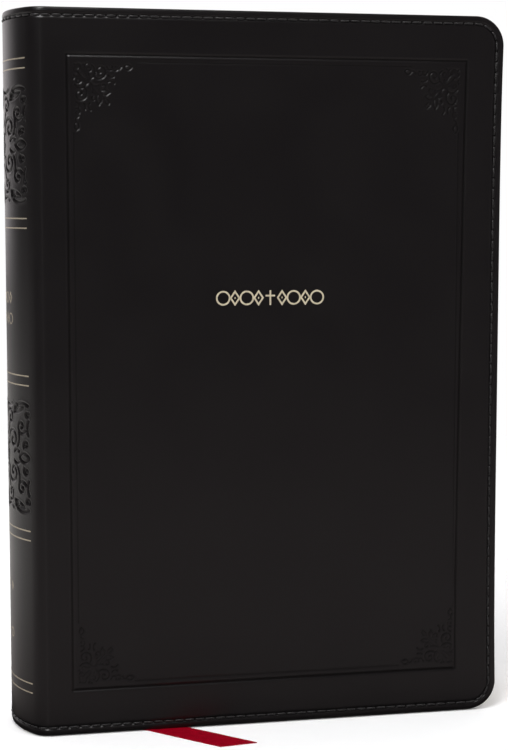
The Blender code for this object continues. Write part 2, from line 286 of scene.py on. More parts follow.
def groove(u, v, strokes, half, depth):
    """Depth of tooled lines at points (u, v): round-bottomed, with a slightly raised lip."""
    far, reach = 9.0, 1.5
    best = np.full(u.shape, far)
    for line in strokes:
        low, high = line.min(0) - reach, line.max(0) + reach
        near = (u > low[0]) & (u < high[0]) & (v > low[1]) & (v < high[1])
        if not near.any():
            continue
        pu, pv = u[near], v[near]
        found = best[near]
        for (au, av), (bu, bv) in zip(line[:-1], line[1:]):
            ru, rv = bu - au, bv - av
            t = np.clip(((pu - au) * ru + (pv - av) * rv) / max(ru * ru + rv * rv, 1e-9), 0, 1)
            found = np.minimum(found, np.hypot(pu - au - t * ru, pv - av - t * rv))
        best[near] = found
    return line_profile(best, half, depth)


def line_profile(distance, half, depth):
    """The cross-section of a tooled line at a distance from its middle."""
    lip = np.exp(-((distance - 1.45 * half) / (0.5 * half)) ** 2)
    floor_share = 1 - smooth(0.25 * half, 1.1 * half, distance)
    return depth * floor_share - 0.14 * depth * lip


def corner_strokes():
    """Scrollwork for one corner: u runs along the head, v down the side."""
    half = [
        spiral(9.9, 3.0, 0.3, 2.5, -300, 140), bow(8.0, 4.6, 6.5, 6.5, 0.5),
        spiral(5.9, 2.2, 0.3, 1.6, -120, 250), bow(5.3, 3.7, 6.3, 6.3, -0.5),
        bow(5.9, 5.9, 0.9, 0.9, 0.85), bow(5.6, 6.3, 0.9, 4.2, -0.6),
        bow(7.0, 7.0, 10.6, 10.6, 0.6), spiral(10.9, 7.4, 0.25, 1.5, -150, 190),
        bow(9.4, 7.2, 6.8, 6.6, -0.45), bow(10.2, 9.6, 12.9, 9.4, 0.7),
        bow(11.0, 11.0, 12.6, 13.0, 0.4), bow(12.3, 1.6, 14.2, 2.4, 0.6),
        spiral(15.3, 1.9, 0.2, 1.15, -170, 200), bow(16.6, 2.4, 18.2, 1.5, -0.4),
        bow(18.2, 1.7, 20.8, 1.7, 0.8), bow(18.2, 1.7, 20.8, 1.7, -0.8),
        bow(12.7, 4.2, 14.6, 4.6, 0.35), spiral(2.3, 1.7, 0.2, 1.15, 0, 400),
        bow(1.2, 7.0, 4.6, 7.6, 0.8), bow(12.6, 6.2, 14.8, 6.6, -0.5),
        bow(8.9, 10.2, 9.4, 13.2, 0.5),
    ]
    return half + [line[:, ::-1] for line in half]


def spine_strokes(top):
    """Scrollwork for one spine panel: the quarter below its top, mirrored four ways."""
    quarter = [
        bow(0.0, 4.2, 2.9, 0.0, 0.35), spiral(7.4, 5.4, 0.5, 3.9, -250, 200),
        bow(3.75, 4.1, 0.4, 0.3, -0.7), spiral(5.2, 12.6, 0.4, 2.7, 110, 480),
        bow(3.9, 10.3, 0.3, 6.2, 0.7), spiral(13.2, 10.2, 0.4, 2.6, -80, 330),
        bow(11.6, 8.2, 10.9, 3.6, 0.6), bow(12.0, 0.0, 17.2, 0.0, 1.5),
        bow(0.0, top - 6.0, 0.0, top, 1.3), bow(8.6, 14.6, 14.6, 16.6, 0.9),
        bow(8.6, 14.6, 14.6, 16.6, -0.7), spiral(15.6, 4.3, 0.25, 1.4, -150, 220),
        spiral(16.2, 14.4, 0.2, 1.0, 0, 380), bow(2.2, top - 1.2, 7.4, top - 0.6, -0.7),
        bow(10.2, top - 1.0, 16.8, top - 0.8, 0.9), spiral(9.6, 16.0, 0.25, 1.5, 60, 420),
        bow(16.9, 7.6, 17.0, 12.2, 0.6), bow(8.4, 1.4, 11.8, 1.8, 0.7),
    ]
    mirrors = [(across, up) for across in (1.13, -1.13) for up in (1, -1)]
    return [line * np.array(mirror) for line in quarter for mirror in mirrors]


# ---- stitch row
def edge_inset(x, z):
    """Distance in from the cut outline of a cover."""
    from_side = np.minimum(np.minimum(z, HEIGHT - z), WIDTH - x)
    corner_x = x - (WIDTH - CORNER)
    corner_z = np.maximum(CORNER - z, z - (HEIGHT - CORNER))
    inside = (corner_x > 0) & (corner_z > 0)
    return np.where(inside, CORNER - np.hypot(corner_x, corner_z), from_side)


def stitch_path(distance):
    """(x, z, direction x, direction z) along the row of stitches, from the hinge's foot."""
    radius = CORNER - STITCH_INSET
    straight = WIDTH - CORNER - SEAM_X
    quarter = radius * math.pi / 2
    rise = HEIGHT - 2 * CORNER
    if distance > straight + quarter + rise / 2:
        x, z, dx, dz = stitch_path(2 * (straight + quarter) + rise - distance)
        return x, HEIGHT - z, -dx, dz
    if distance < straight:
        return SEAM_X + distance, STITCH_INSET, 1.0, 0.0
    distance -= straight
    if distance < quarter:
        angle = distance / radius
        return (WIDTH - CORNER + radius * math.sin(angle), CORNER - radius * math.cos(angle),
                math.cos(angle), math.sin(angle))
    return WIDTH - STITCH_INSET, CORNER + distance - quarter, 0.0, 1.0


STITCH_RUN = (2 * (WIDTH - CORNER - SEAM_X) + (CORNER - STITCH_INSET) * math.pi
              + HEIGHT - 2 * CORNER)
STITCH_COUNT = int(round(STITCH_RUN / STITCH_PITCH))
COVER_PITCH = STITCH_RUN / STITCH_COUNT
SPINE_HALF = SPINE_MIDDLE + SEAM_S
SPINE_STITCHES = int(round(2 * SPINE_HALF / STITCH_PITCH))
SPINE_PITCH = 2 * SPINE_HALF / SPINE_STITCHES


def channel(inset):
    """The sewn channel: leather pulled down by the thread and puffed up beside it."""
    pulled = 0.36 * (1 - smooth(0.15, 0.85, np.abs(inset - STITCH_INSET)))
    outer_lip = 0.06 * np.exp(-((inset - 1.35) / 0.5) ** 2)
    inner_lip = 0.03 * np.exp(-((inset - 4.0) / 0.8) ** 2)
    return pulled - outer_lip - inner_lip


def holes(x, z, places):
    """Small pits where the thread goes through."""
    deepest, radius, reach = 0.26, 0.4, 1.2
    depth = np.zeros(x.shape)
    for px, pz in places:
        near = (np.abs(x - px) < reach) & (np.abs(z - pz) < reach)
        off = (x[near] - px) ** 2 + (z[near] - pz) ** 2
        depth[near] += deepest * np.exp(-off / radius ** 2)
    return depth


COVER_HOLES = [stitch_path(index * COVER_PITCH)[:2] for index in range(1, STITCH_COUNT)]


def cover_relief(x, z):
    """Depth below the flat cover that both covers share."""
    inset = edge_inset(x, z)
    crown = 0.28 * smooth(2, 45, inset) * smooth(SHOULDER_X, SHOULDER_X + 30, x)
    wave = 0.022 * np.sin(x / 17.0 + 0.7) * np.sin(z / 23.0 + 0.4)
    wave = wave + 0.012 * np.sin(x / 9.0 + z / 13.0)
    wave = wave * smooth(4, 20, inset) * smooth(SHOULDER_X, SHOULDER_X + 12, x)
    return channel(inset) + holes(x, z, COVER_HOLES) - crown + wave


def front_relief(x, z):
    """Depth below the flat front cover, with its tooled frames and corner scrolls."""
    depth = cover_relief(x, z)
    left, right, low, high = OUTER_FRAME
    corners = [(left, low), (right - 1.5, low), (right + 0.3, high), (left, high), (left, low)]
    outer = [np.array(pair, float) for pair in zip(corners, corners[1:])]
    depth = depth + groove(x, z, outer, *OUTER_LINE)
    left, right, low, high = INNER_FRAME
    inner = np.array([[(40.8, high), (right - 16.6, high)], [(39.0, low), (right - 19.4, low)],
                      [(left, 37.6), (left, 196.6)], [(right, 36.8), (right, 197.4)]])
    depth = depth + groove(x, z, inner, *INNER_LINE)
    head, foot = (high + 0.1, -1, (0.93, 1.05)), (low - 0.5, 1, (0.90, 0.93))
    for corner_x, across in ((left - 0.6, 1), (right + 0.6, -1)):
        for corner_z, down, stretch in (head, foot):
            u = (x - corner_x) * across
            v = (z - corner_z) * down
            near = (u > -1.5) & (u < 25) & (v > -1.5) & (v < 25)
            strokes = [line * np.array(stretch) for line in corner_strokes()]
            depth[near] += groove(u[near], v[near], strokes, *SCROLL_LINE)
    return depth


# ---- leather skins
EDGE_START = 1.2
# (inset, depth on the cover, depth at the spine) round the edge, from the outer face in.
EDGE_SECTION = [
    (0.80, 0.02, 0.02), (0.50, 0.09, 0.07), (0.22, 0.28, 0.20), (0.05, 0.56, 0.40),
    (0.00, 0.95, 0.62), (0.00, 1.95, 0.80), (0.05, 2.40, 0.95), (0.22, 2.72, 1.08),
    (0.55, COVER_DEPTH, 1.16), (7.00, COVER_DEPTH, 1.16), (7.00, 2.45, 1.00),
    (0.95, 2.40, 0.90), (0.95, 0.80, 0.82),
]
SPINE_SECTION = [(inset, depth) for inset, _, depth in EDGE_SECTION[:9]]
SHARP = 62.0


def cover_outline(inset, columns, rows):
    """(s, z, normal s, normal z) round a cover's three free sides, foot first."""
    radius = CORNER - inset
    s_flat = WIDTH - CORNER - SHOULDER_X
    outline = [(s, inset, 0.0, -1.0) for s in columns[0]]
    for z, row in zip(rows[1:], columns[1:]):
        if z < CORNER or z > HEIGHT - CORNER:
            centre = CORNER if z < CORNER else HEIGHT - CORNER
            outline.append((row[-1], z, (row[-1] - s_flat) / radius, (z - centre) / radius))
        else:
            outline.append((row[-1], z, 1.0, 0.0))
    outline += [(s, HEIGHT - inset, 0.0, 1.0) for s in columns[-1][-2::-1]]
    return outline


def cover_skin(side, relief, across, heights):
    """A cover's leather: relief on the outside, a rounded edge, and a turned-in lip."""
    shape = Shape()
    radius = CORNER - EDGE_START
    stations = across - SHOULDER_X
    end = stations[-1]
    squeeze = end - 14.0
    # The last stations of each row close up, so that the rows end on the round corners.
    fall = np.maximum(np.maximum(CORNER - heights, heights - (HEIGHT - CORNER)), 0.0)[:, None]
    limit = WIDTH - CORNER - SHOULDER_X + np.sqrt(np.maximum(radius ** 2 - fall ** 2, 0.0))
    scaled = squeeze + (stations - squeeze) * (limit - squeeze) / (end - squeeze)
    rows = np.where(stations < squeeze, stations, scaled)
    z = np.broadcast_to(heights[:, None], rows.shape)
    outer = shape.grid(cover_points(side, rows, relief(SHOULDER_X + rows, z), z))

    outline = np.array(cover_outline(EDGE_START, rows, heights))
    border = np.concatenate([outer[0], outer[1:, -1], outer[-1, -2::-1]])
    previous = border
    thick = smooth(SEAM_S + 0.4, SEAM_S + 5.4, outline[:, 0])
    rings = [border]
    for inset, depth_cover, depth_spine in EDGE_SECTION:
        step = EDGE_START - inset
        s = outline[:, 0] + outline[:, 2] * step
        z = outline[:, 1] + outline[:, 3] * step
        level = depth_spine + (depth_cover - depth_spine) * thick
        ring = shape.add(cover_points(side, s, level, z)) + np.arange(len(outline))
        shape.strip(previous, ring)
        rings.append(ring)
        previous = ring

    # The hidden face of the skin, in two strips a row, and the two ends at the hinge.
    count = len(stations)
    inner = previous
    between = heights[1:-1]
    left = shape.add(cover_points(side, np.full(len(between), SEAM_S), 0.82, between))
    middle = shape.add(cover_points(side, np.full(len(between), 3.0), 0.80, between))
    last = len(heights) - 1
    for row in range(1, last - 1):
        right = inner[count - 1 + row]
        above = inner[count + row]
        low, high = row - 1, row
        shape.face((left + low, middle + low, middle + high, left + high))
        shape.face((middle + low, right, above, middle + high))
    shape.face(list(inner[:count]) + [inner[count], middle, left])
    top = list(inner[count - 1 + last:])
    shape.face([inner[count - 2 + last]] + top + [left + last - 2, middle + last - 2])
    shape.face([ring[0] for ring in rings] + [left, outer[1, 0]])
    shape.face([ring[-1] for ring in rings] + [left + last - 2, outer[last - 1, 0]])
    for row in range(1, last - 1):
        shape.face((outer[row, 0], outer[row + 1, 0], left + row, left + row - 1))

    made = shape.finish(WORDS[side] + "_cover_skin", [LEATHER], "leather",
                        [WORDS[side] + "_cover_leather"], sharp=SHARP)
    bend_with_cover(made)


def bend(piece):
    """Bakes a piece's placement into its mesh."""
    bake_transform(piece)


def bend_with_cover(piece):
    """Bakes a cover piece's placement into its mesh, like bend."""
    bend(piece)


def bend_with_leaf(piece):
    """Bakes the leaves' placement into their mesh, like bend."""
    bend(piece)


def spine_relief(t, z):
    """Depth below the spine's outer curve: sewn ends and tooled panels."""
    places = []
    for index in range(SPINE_STITCHES + 1):
        place = (index / SPINE_STITCHES * 2 - 1) * SPINE_HALF
        places += [(place, STITCH_INSET), (place, HEIGHT - STITCH_INSET)]
    depth = channel(np.minimum(z, HEIGHT - z)) + holes(t, z, places)
    for centre, half_height in SPINE_PANELS:
        near = np.abs(z - centre) < half_height + 2
        strokes = spine_strokes(half_height)
        depth[near] += groove(t[near], z[near] - centre, strokes, *SPINE_LINE)
    return depth


def spine_skin():
    """The spine's leather, from one joint round to the other."""
    shape = Shape()
    end, rim = SPINE_HALF, SPINE_HALF - 1.2
    sewn, coarse, tooled = 0.22, 1.6, 0.3
    across = spaced((-end, -rim, 0.2), (-rim, rim, 0.32), (rim, end, 0.2))
    up = spaced((EDGE_START, 4.6, sewn), (4.6, 70, coarse), (70, 111, tooled),
                (111, 170, coarse), (170, 212.5, tooled), (212.5, HEIGHT - 4.6, coarse),
                (HEIGHT - 4.6, HEIGHT - EDGE_START, sewn))
    t, z = np.meshgrid(across, up)
    outer = shape.grid(spine_points(t, spine_relief(t, z), z))
    columns = outer.shape[1]
    last_rings = []
    for row, direction in ((0, 1), (-1, -1)):
        previous = outer[row]
        ends = [(previous[0], previous[-1])]
        for inset, level in SPINE_SECTION:
            height = inset if direction > 0 else HEIGHT - inset
            ring = shape.add(spine_points(across, level, height)) + np.arange(columns)
            shape.strip(previous, ring)
            ends.append((ring[0], ring[-1]))
            previous = ring
        last_rings.append((previous, ends))
    shape.strip(last_rings[0][0], last_rings[1][0])
    for end_index, column in ((0, 0), (1, -1)):
        low = [pair[end_index] for pair in last_rings[0][1]]
        high = [pair[end_index] for pair in last_rings[1][1]]
        shape.face(low[::-1] + list(outer[1:-1, column]) + high)
    shape.finish("spine_skin", [LEATHER], "leather", ["spine_leather"], "binding", SHARP)


# ---- stitches
def stitch_row(name, node, body, count, pitch, start, place):
    """A row of stitches, one body a stitch; place(distance, across, depth) gives points."""
    shape = Shape()
    angles = [2 * math.pi * corner / 8 for corner in range(8)]
    for index in range(count):
        centre = start + (index + 0.5) * pitch
        rings = []
        for share in np.linspace(-1, 1, 9):
            size = STITCH_RADIUS * math.sqrt(max(1 - abs(share) ** 5, 0.06))
            level = 0.02 + 0.40 * abs(share) ** 3.5
            rings.append([place(centre + share * pitch * STITCH_SHARE, size * math.cos(angle),
                                level - 0.85 * size * math.sin(angle)) for angle in angles])
        shape.tube(np.array(rings))
    return shape.finish(name, [THREAD], "thread", [node], body)


def cover_stitches(side):
    """The row of stitches round a cover."""
    def place(distance, across, level):
        x, z, dx, dz = stitch_path(distance)
        return cover_points(side, x - dz * across - SHOULDER_X, level, z + dx * across)

    made = stitch_row(WORDS[side] + "_stitches", WORDS[side] + "_stitching", None,
                      STITCH_COUNT, COVER_PITCH, 0.0, place)
    bend_with_cover(made)


def spine_stitches(word, height):
    """The stitches across the spine near its head or foot."""
    def place(distance, across, level):
        return spine_points(distance, level, height + across)

    stitch_row("spine_stitches_" + word, "spine_stitching_" + word, "binding",
               SPINE_STITCHES, SPINE_PITCH, -SPINE_HALF, place)


# ---- gold foil
def unit(vectors):
    return vectors / np.linalg.norm(vectors, axis=1)[:, None]


def foil_band(shape, line, half, place, closed=False):
    """A flat foil line on a surface; place(u, v, depth) gives its points."""
    line = np.asarray(line, float)
    if closed:
        ahead, behind = np.roll(line, -1, 0), np.roll(line, 1, 0)
    else:
        ahead = np.concatenate([line[1:], line[-1:]])
        behind = np.concatenate([line[:1], line[:-1]])
    run = unit(ahead - behind)
    reach = half
    if closed:
        reach = half / np.maximum((unit(line - behind) * run).sum(1), 0.5)[:, None]
    across = np.stack([-run[:, 1], run[:, 0]], -1) * reach
    section = ((-1, FOIL_SUNK), (1, FOIL_SUNK), (1, FOIL_RAISED), (-1, FOIL_RAISED))
    rings = [[place(*(centre + side * sign), level) for sign, level in section]
             for centre, side in zip(line, across)]
    shape.tube(np.array(rings), closed)


def ring_line(u, v, radius):
    angle = np.linspace(0, 2 * math.pi, 28, endpoint=False)
    return np.stack([u + radius * np.cos(angle), v + radius * np.sin(angle)], -1)


def lozenge_line(u, v, half_u, half_v):
    corners = np.array([(half_u, 0), (0, half_v), (-half_u, 0), (0, -half_v)], float)
    halfway = corners + (np.roll(corners, -1, 0) - corners) * 0.5
    return np.stack([corners, halfway], 1).reshape(-1, 2) + (u, v)


def foil_motif(shape, kind, u, v, size, place, weight):
    """One small ornament: o is a ring, v a lozenge and + a plain cross."""
    if kind == "o":
        foil_band(shape, ring_line(u, v, size - weight), weight, place, closed=True)
    elif kind == "v":
        outline = lozenge_line(u, v, size * 0.60, size - weight)
        foil_band(shape, outline, weight, place, closed=True)
        foil_band(shape, [(u - 0.16, v), (u + 0.16, v)], 0.30, place)
    else:
        foil_band(shape, [(u, v - size), (u, v + size)], weight, place)
        arm = v + size * 0.28
        for sign in (-1, 1):
            line = [(u + sign * weight, arm), (u + sign * size * 0.66, arm)]
            foil_band(shape, line, weight, place)


def foil_row(shape, kinds, middle, size, pitch, place, weight):
    """Ornaments in a row across, spaced evenly about the row's middle."""
    for index, kind in enumerate(kinds):
        u = middle[0] + (index - (len(kinds) - 1) / 2) * pitch
        foil_motif(shape, kind, u, middle[1], size, place, weight)


def front_foil():
    """The row of small foil ornaments in the middle of the front cover."""
    shape = Shape()

    def place(x, z, level):
        depth = front_relief(np.array([[x]]), np.array([[z]]))[0, 0]
        return cover_points(-1, x - SHOULDER_X, depth + level, z)

    foil_row(shape, "ovov+vovo", (84.55, 143.2), 2.42, 3.95, place, FRONT_WEIGHT)
    shape.finish("front_foil_ornament", [FOIL], body="front_cover")


def spine_foil():
    """Five pairs of rules across the spine, and small ornaments between them."""
    rules = Shape()
    stations = np.linspace(-RULE_HALF, RULE_HALF, 60)

    def place(t, z, level):
        return spine_points(t, level, z)

    for middle in RULE_HEIGHTS:
        for height in (middle - RULE_GAP / 2, middle + RULE_GAP / 2):
            foil_band(rules, [(t, height) for t in stations], SPINE_WEIGHT, place)
    rules.finish("spine_foil_rules", [SHADED_SPINE_FOIL], body="binding")

    marks = Shape()
    rows = [(143.4, "vovov", 1.9, 3.8), (136.6, "ov+vo", 1.9, 3.8),
            (47.4, "vov", 1.5, 5.4), (31.4, "o+o", 1.7, 4.6)]
    for height, kinds, size, pitch in rows:
        foil_row(marks, kinds, (0.0, height), size, pitch, place, SPINE_WEIGHT)
    marks.finish("spine_foil_ornaments", [SHADED_SPINE_FOIL], body="binding")


# ---- paper
def spine_x(y):
    """The rounded back of the text block."""
    return SPINE_R - math.sqrt(BLOCK_SPINE_R ** 2 - y ** 2)


def slab_rings(x, near, far, foot, head, corner=LEAF_CORNER):
    """Rings of one bundle of leaves, with rounded corners at the fore edge."""
    reach = np.maximum(x - (x[-1] - corner), 0.0)
    drop = corner - np.sqrt(np.maximum(corner ** 2 - reach ** 2, 0.0))
    low, high = foot + drop, head - drop
    sides = [(x, y + 0 * x, z) for y, z in ((near, low), (near, high), (far, high), (far, low))]
    return np.array(sides).transpose(2, 0, 1)


def corner_stations(fore, corner, angles):
    """Stations round the corners at the fore edge, at angles in degrees."""
    return [fore - corner + corner * math.sin(math.radians(angle)) for angle in angles]


def leaf_stations(inner, pivot, fore):
    """Stations along a leaf: close where it bends and round its corners."""
    bend_end = pivot + 14
    bent = np.linspace(inner, bend_end, int((bend_end - inner) / 1.2))
    flat = np.linspace(bend_end, fore - LEAF_CORNER, 6)
    turn = corner_stations(fore, LEAF_CORNER, range(0, 91, 9))
    return np.unique(np.round(np.concatenate([bent, flat, turn]), 4))


# Of a leaf tube's faces, the two large ones are printed and the others gilt.
LEAF_SLOTS = {"side_slots": (0, 1, 0, 1), "end_slots": (0, 1)}


def page_groups():
    """Twelve groups of leaves; each is nine bundles of thin paper."""
    random = np.random.default_rng(11)
    bundles = 9
    swell, middle_gap, bundle_gap = 0.14, 0.20, 0.012
    fore_play, end_play = 0.13, 0.14
    for number in range(1, 13):
        body = "section_{:02d}".format(number)
        node = "pages_{:02d}".format(number)
        low, high = box_mm(node)
        y_low, y_high = low[1] - swell, high[1] + swell
        if number == 6:
            y_high = -middle_gap
        if number == 7:
            y_low = middle_gap
        shape = Shape()
        step = (y_high - y_low) / bundles
        for bundle in range(bundles):
            near = y_low + step * bundle
            far = near + step - bundle_gap
            back = spine_x((near + far) / 2)
            fore = high[0] + back - spine_x((low[1] + high[1]) / 2)
            fore += random.uniform(-fore_play, fore_play)
            foot = FOOT + random.uniform(0.0, end_play)
            head = HEAD - random.uniform(0.0, end_play)
            stations = leaf_stations(back, PIVOTS[body][0], fore)
            shape.tube(slab_rings(stations, near, far, foot, head), **LEAF_SLOTS)
        made = shape.finish("leaves_{:02d}".format(number), [PAGE, GILT], "paper",
                            [node, "bound_gutter"], sharp=40.0)
        bend_with_leaf(made)


def endpapers(side):
    """The flyleaf, and the pasted-down sheet that runs on across the joint into the gutter."""
    word = WORDS[side]
    body = word + "_endleaf"
    fore = box_mm(word + "_flyleaf")[1][0]
    near, far = sorted((side * (HALF - 3.44), side * (HALF - 3.60)))
    stations = leaf_stations(10.6, PIVOTS[body][0], fore)
    shape = Shape()
    shape.tube(slab_rings(stations, near, far, FOOT, HEAD), **LEAF_SLOTS)
    sheet = shape.finish(word + "_flyleaf_sheet", [ENDPAPER, GILT], "endpaper",
                         [word + "_flyleaf"], sharp=40.0)
    bend_with_leaf(sheet)

    inset, start, middle = 5.0, 10.4, 18.0
    fore = WIDTH - inset
    corner = CORNER - inset
    stations = np.concatenate([np.linspace(start, middle, 14),
                               np.linspace(middle, fore - corner, 8)[1:],
                               corner_stations(fore, corner, range(9, 91, 9))])
    rings = slab_rings(stations, 0.0, 0.10, inset, HEIGHT - inset, corner)
    face = COVER_DEPTH + 0.16
    settle = 0.42 * (1 - smooth(start, BEND_END_X, rings[..., 0]))
    rings[..., 1] = side * (HALF - (face - rings[..., 1] + settle))
    shape = Shape()
    shape.tube(rings)
    sheet = shape.finish(word + "_pastedown", [LINER], "liner", [word + "_liner"], sharp=40.0)
    bend_with_cover(sheet)


# ---- bands and ribbon
def worked_band(node):
    """A headband: silk wound round a cord, in alternating coloured turns."""
    low, high = box_mm(node)
    centre = (low[2] + high[2]) / 2
    bead = (high[2] - low[2]) / 2
    radius = SPINE_R - low[0] - bead
    turns, steps, sides = 46, 6, 12
    share = np.linspace(0, 1, turns * steps + 1)[:, None]
    turn = 2 * math.pi * np.arange(sides) / sides
    angle = math.radians(32.0) * (2 * share - 1)
    size = bead * (0.86 + 0.14 * np.abs(np.sin(math.pi * turns * share)))
    reach = radius + size * np.cos(turn)
    rings = np.stack([SPINE_R - reach * np.cos(angle), reach * np.sin(angle),
                      centre + size * np.sin(turn)], -1)
    rest = np.stack(np.broadcast_arrays(share * turns, np.arange(sides), 0.0), -1)
    shape = Shape()
    shape.tube(rings)
    shape.finish(node + "_wound", [BAND], "band", [node], "binding", rest=rest.reshape(-1, 3))


def ribbon_tail():
    """The loose end of the marker: it drops out of the block, turns, and lies out in front."""
    top = box_mm("ribbon_tail")[1][2]
    start_x, start_y, _ = PIVOTS["marker_tail"]
    azimuth = math.radians(-47.6)
    ahead_x, ahead_y = math.cos(azimuth), math.sin(azimuth)
    half, thickness, selvedge = 5.15, 0.11, 0.4
    bend_r, rest_z = 2.3, -0.19
    length, slant = 58.5, 3.5
    # Round the section: across one face, and back over the other.
    share = np.linspace(-1, 1, 23)
    share = np.concatenate([share, share[::-1]])
    face = np.repeat([1, -1], 23)
    offset = share * half
    flat = bend_r + (length + slant * share - bend_r) * np.linspace(0, 1, 60)[1:, None]
    ripple = 0.018 * np.sin(flat / 2.3 + share) + 0.015 * np.sin(flat / 5.1 - 2 * share)
    angle = np.radians(7.5 * np.arange(1, 13))[:, None] + 0 * share
    straight = np.zeros((1, len(share)))
    along = np.concatenate([straight, bend_r * (1 - np.cos(angle)), flat])
    z = np.concatenate([straight + top, rest_z + bend_r * (1 - np.sin(angle)), rest_z + ripple])
    tilt = np.concatenate([straight, angle, np.full(flat.shape, math.pi / 2)])
    out = thickness * np.where(np.abs(offset) > half - selvedge, 1.25, 1.0) * face
    reach = along - out * np.cos(tilt)
    rings = np.stack([start_x + ahead_x * reach - ahead_y * offset,
                      start_y + ahead_y * reach + ahead_x * offset, z + out * np.sin(tilt)], -1)
    rest = np.stack(np.broadcast_arrays(along, offset, face), -1)
    shape = Shape()
    shape.tube(rings)
    shape.finish("marker_ribbon_tail", [RIBBON], "ribbon", ["ribbon_tail"], "marker_tail",
                 50.0, rest.reshape(-1, 3))


# ---- materials
class Nodes:
    """The node tree of a material or a world. Its methods return the socket of their result."""

    def __init__(self, owner):
        owner.use_nodes = True
        self.owner = owner
        self.tree = owner.node_tree

    def set(self, shader, inputs):
        """Gives a node's inputs their values, or links them to sockets."""
        for key, value in inputs.items():
            target = shader.inputs[key]
            if isinstance(value, bpy.types.NodeSocket):
                self.tree.links.new(value, target)
                continue
            if target.type == "RGBA":
                value = (*value, 1.0)
            target.default_value = value

    def add(self, kind, inputs=None, out=0, **settings):
        """A new node; returns its output socket by index or name."""
        made = self.tree.nodes.new("ShaderNode" + kind)
        for key, value in settings.items():
            setattr(made, key, value)
        self.set(made, inputs or {})
        return made.outputs[out]

    def finish(self, **inputs):
        """Sets the main shader's inputs, and returns the material."""
        inputs = {key.replace("_", " "): value for key, value in inputs.items()}
        self.set(self.tree.nodes["Principled BSDF"], inputs)
        return self.owner

    def stored(self):
        """Rest coordinates in millimetres: they don't slide when a piece bends."""
        return self.add("Attribute", out="Vector", attribute_name="rest")

    def rest(self, scale=(1, 1, 1)):
        return self.add("Mapping", {"Vector": self.stored(), "Scale": scale})

    def local(self, scale=(1000, 1000, 1000)):
        """A CAD node's own coordinates, in millimetres unless scaled otherwise."""
        source = self.add("TexCoord", out="Object")
        return self.add("Mapping", {"Vector": source, "Scale": scale})

    def axes(self, vector):
        return self.add("SeparateXYZ", {0: vector}).node.outputs

    def noise(self, vector, scale, detail=3.0, roughness=0.5):
        return self.add("TexNoise", {"Vector": vector, "Scale": scale, "Detail": detail,
                                     "Roughness": roughness}, "Fac")

    def wave(self, vector, scale, direction, distortion=0.0):
        return self.add("TexWave", {"Vector": vector, "Scale": scale, "Distortion": distortion},
                        "Fac", bands_direction=direction)

    def remap(self, value, low, high, to_low=0.0, to_high=1.0, kind="LINEAR"):
        return self.add("MapRange", {"Value": value, "From Min": low, "From Max": high,
                                     "To Min": to_low, "To Max": to_high}, "Result",
                        interpolation_type=kind)

    def maths(self, operation, first, second=0.0):
        return self.add("Math", {0: first, 1: second}, operation=operation)

    def plus(self, first, second):
        return self.maths("ADD", first, second)

    def times(self, first, second):
        return self.maths("MULTIPLY", first, second)

    def above(self, value, limit):
        return self.maths("GREATER_THAN", value, limit)

    def between(self, value, low, high):
        """1 where the value lies between two limits, else 0."""
        return self.times(self.above(value, low), self.maths("LESS_THAN", value, high))

    def vector(self, operation, first, second=(0.0, 0.0, 0.0), out="Vector"):
        return self.add("VectorMath", {0: first, 1: second}, out, operation=operation)

    def mix(self, factor, first, second):
        return self.add("Mix", {0: factor, 6: first, 7: second}, 2, data_type="RGBA")

    def bump(self, height, strength, distance_mm):
        return self.add("Bump", {"Height": height, "Strength": strength,
                                 "Distance": distance_mm * MM}, "Normal")

    def choose(self, factor, first, second):
        """One of two shaders, or a mix of them."""
        return self.add("MixShader", {0: factor, 1: first, 2: second})


def new_material(name):
    return Nodes(bpy.data.materials.new(name))


def leather_material():
    """Near-black imitation leather: fine pebbled grain, soft sheen, worn edges, and painted shade
    in the tooled hollows.
    """
    n = new_material("black_leather")
    place = n.rest()
    pebble = n.add("TexVoronoi", {"Vector": place, "Scale": 1.9, "Randomness": 0.9}, "Distance",
                   feature="SMOOTH_F1")
    crease = n.add("TexVoronoi", {"Vector": place, "Scale": 1.1}, "Distance",
                   feature="DISTANCE_TO_EDGE")
    fine = n.noise(place, 6.0, 4.0, 0.6)
    patches = n.noise(place, 0.05, 2.0)
    height = n.plus(n.times(pebble, -0.45),
                    n.plus(n.times(fine, 0.45), n.remap(crease, 0.0, 0.10, 0.0, 0.35)))
    rough = n.plus(n.remap(patches, 0.35, 0.65, 0.275, 0.30), n.times(fine, 0.05))
    edge = n.add("NewGeometry", out="Pointiness")
    base = n.mix(n.remap(patches, 0.3, 0.7), (0.0036, 0.0029, 0.0032), (0.0044, 0.0036, 0.0038))
    worn = n.mix(n.remap(edge, 0.515, 0.60, 0.0, 0.55), base, (0.014, 0.0125, 0.0125))
    # Painted shade: the tooled hollows, found by pointiness, are darkened nearly to black and
    # reflect less.
    hollow_shade = n.remap(edge, 0.45, 0.497, 0.85, 0.0)
    return n.finish(Base_Color=n.mix(hollow_shade, worn, (0.0012, 0.0009, 0.0009)), Roughness=rough,
                    Normal=n.bump(height, 0.40, 0.05),
                    Specular_IOR_Level=n.remap(hollow_shade, 0.0, 1.0, 0.45, 0.18))


def thread_material():
    """Waxed black thread, twisted."""
    n = new_material("black_thread")
    twist = n.wave(n.rest(), 1.9, "DIAGONAL", 0.6)
    return n.finish(Base_Color=(0.0065, 0.0058, 0.006), Roughness=0.36, Sheen_Weight=0.1,
                    Normal=n.bump(twist, 0.6, 0.06))


def foil_material(name, light, dark):
    """Pale gold foil stamped into leather, a little uneven."""
    n = new_material(name)
    place = n.rest()
    grain = n.noise(place, 5.0)
    colour = n.mix(n.remap(n.noise(place, 1.6, 2.0), 0.35, 0.7), light, dark)
    return n.finish(Base_Color=colour, Metallic=0.55, Normal=n.bump(grain, 0.35, 0.03),
                    Roughness=n.remap(grain, 0.3, 0.7, 0.36, 0.5))


